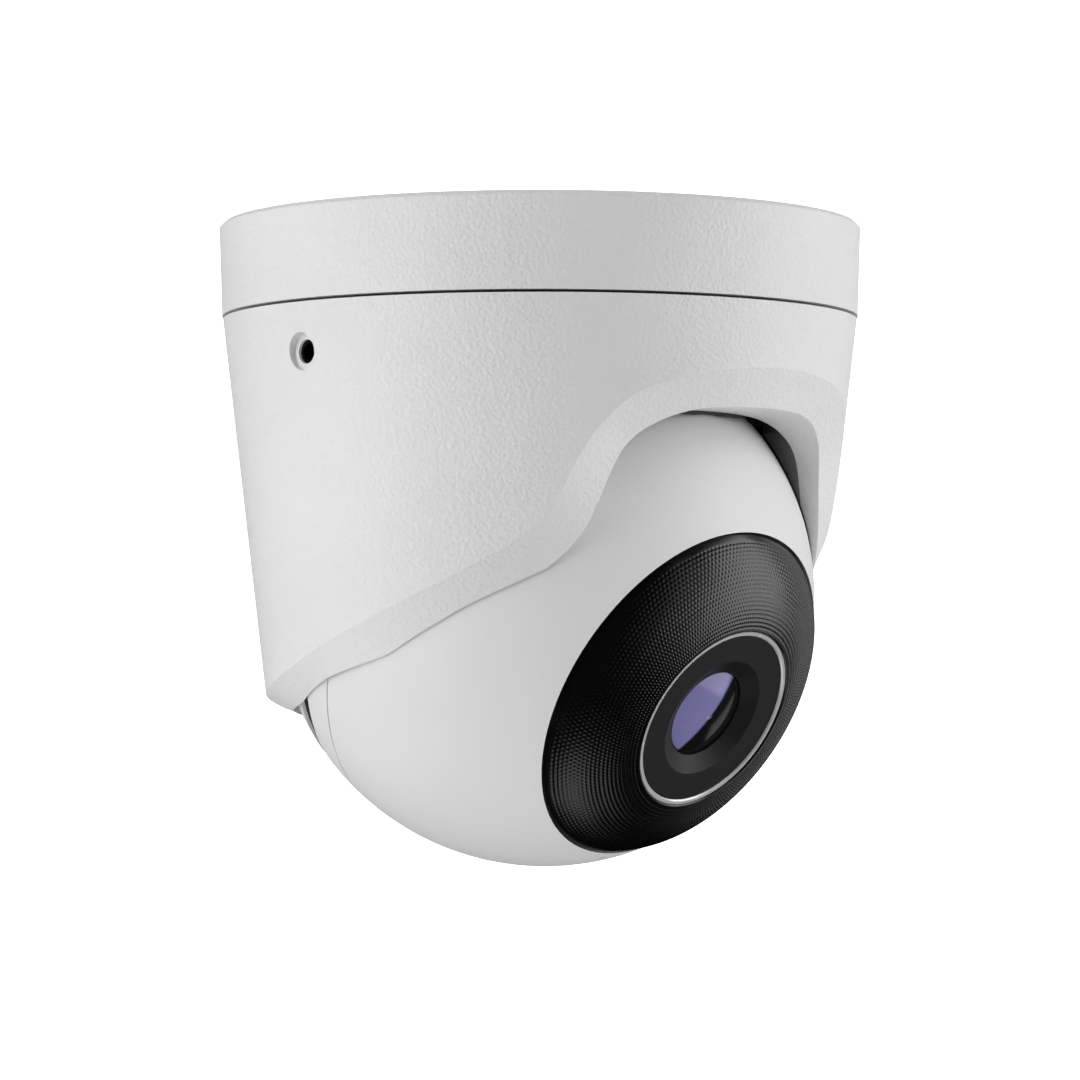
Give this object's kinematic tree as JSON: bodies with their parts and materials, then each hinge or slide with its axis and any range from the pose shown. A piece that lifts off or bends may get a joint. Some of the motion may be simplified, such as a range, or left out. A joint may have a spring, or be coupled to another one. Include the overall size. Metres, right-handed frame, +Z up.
{
  "type": "ceiling turret camera",
  "caption": "Ceiling security camera: a white ball with a black dimpled front cap and lens, held in an arched cover under a round base.",
  "frame": {"origin": "centre of the flat mounting face, which lies against the ceiling", "axes": "+Z points up out of the mounting face, -Y is the front that the opening faces, +X is the tilt axis"},
  "size_m": [0.11, 0.11, 0.1096],
  "materials": {
    "plate_steel": "zinc plated",
    "white_shell": "fine leather grain",
    "white_ball": "smooth satin",
    "seal_foam": "closed-cell foam",
    "black_rubber": "matte",
    "screw_steel": "plated",
    "slip_plastic": "natural",
    "dark_steel": "black oxide",
    "black_frame": "fine matte",
    "black_gloss": "glossy, dimpled",
    "chrome_ring": "polished",
    "black_window": "satin black",
    "lens_glass": "coated, violet reflection",
    "barrel_metal": "black anodised",
    "board_green": "solder mask",
    "board_white": "white solder mask",
    "chip_black": "moulded",
    "brass_spacer": "turned",
    "sink_aluminium": "extruded",
    "pad_grey": "soft",
    "header_white": "moulded",
    "lamp_lens": "clear epoxy"
  },
  "bodies": {
    "base": {"mounting_plate": "plate_steel", "base_ring": "white_shell", "ceiling_gasket": "seal_foam", "cable_grommet": "black_rubber", "base_screws": "screw_steel", "pan_ring": "plate_steel", "pan_ring_screws": "screw_steel", "friction_washer": "slip_plastic"},
    "housing": {"cover": "white_shell", "lock_screw": "dark_steel", "inner_bracket": "black_frame", "bracket_screws": "screw_steel", "seat_ring": "black_frame"},
    "tilt_ring": {"tilt_ring": "black_frame"},
    "eyeball": {"ball_front_shell": "white_ball", "ball_rear_shell": "white_ball", "shell_seal": "black_rubber", "shell_screws": "screw_steel", "cable_gland": "black_rubber", "bezel": "black_gloss", "trim_ring": "chrome_ring", "front_window": "black_window", "front_lens": "lens_glass", "rear_lens": "lens_glass", "lens_barrel": "barrel_metal", "lens_holder": "black_frame", "ir_filter": "lens_glass", "image_sensor": "chip_black", "sensor_board": "board_green", "main_board": "board_green", "led_board": "board_white", "board_spacers": "brass_spacer", "board_screws": "screw_steel", "heat_sink": "sink_aluminium", "processor_chip": "chip_black", "thermal_pad": "pad_grey", "memory_chips": "chip_black", "card_socket": "screw_steel", "memory_card": "chip_black", "cable_header": "header_white", "microphone": "screw_steel", "microphone_boot": "black_rubber", "ir_leds": "lamp_lens"}
  },
  "joints": [
    {"name": "pan", "type": "hinge", "parent": "base", "child": "housing", "pos_m": [0, 0, -0.0264], "axis": [0, 0, 1], "range_deg": [-180, 180]},
    {"name": "tilt", "type": "hinge", "parent": "housing", "child": "tilt_ring", "pos_m": [0, -0.0011, -0.0635], "axis": [1, 0, 0], "range_deg": [-28.8, 46.2]},
    {"name": "roll", "type": "hinge", "parent": "tilt_ring", "child": "eyeball", "pos_m": [0, -0.0011, -0.0635], "axis": [0, -0.8763, -0.4818], "range_deg": [-180, 180]}
  ]
}
